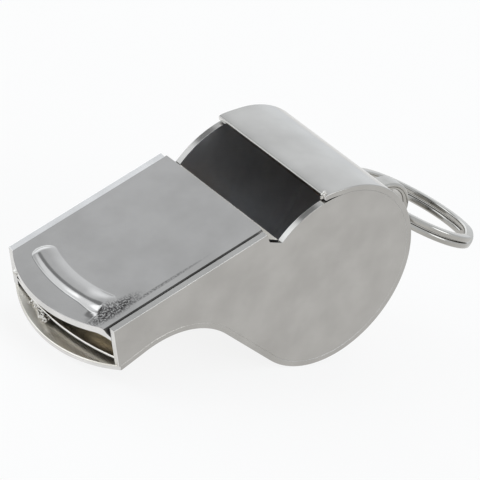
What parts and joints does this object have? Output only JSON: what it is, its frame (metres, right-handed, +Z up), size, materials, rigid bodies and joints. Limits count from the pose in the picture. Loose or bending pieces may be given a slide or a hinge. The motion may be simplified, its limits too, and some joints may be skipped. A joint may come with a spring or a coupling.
{
  "type": "pea whistle",
  "caption": "Metal pea whistle with a wrapped barrel, a bowed mouthpiece with a bite ridge, a cork ball, and a split ring swinging in a lanyard loop.",
  "frame": {"origin": "centre of the bounding box's base, on the ground under the whistle as it stands on its lower lip and its barrel", "axes": "+X along the whistle from the mouth to the split ring, +Y across it to its left side, +Z up"},
  "size_m": [0.0658, 0.02, 0.0247],
  "materials": {
    "nickel_plated_brass": "polished",
    "nickel_plated_steel": "polished",
    "cork": "matte"
  },
  "bodies": {
    "whistle": {"right_side_plate": "nickel_plated_brass", "left_side_plate": "nickel_plated_brass", "barrel_strip": "nickel_plated_brass", "top_plate": "nickel_plated_brass", "windway_floor": "nickel_plated_brass", "lanyard_loop": "nickel_plated_brass", "cork_pea": "cork"},
    "ring": {"split_ring": "nickel_plated_steel"}
  },
  "joints": [
    {"name": "ring_swing", "type": "hinge", "parent": "whistle", "child": "ring", "pos_m": [0.0168, 0, 0.0166], "axis": [0, 1, 0], "range_deg": [-144, 81]}
  ]
}
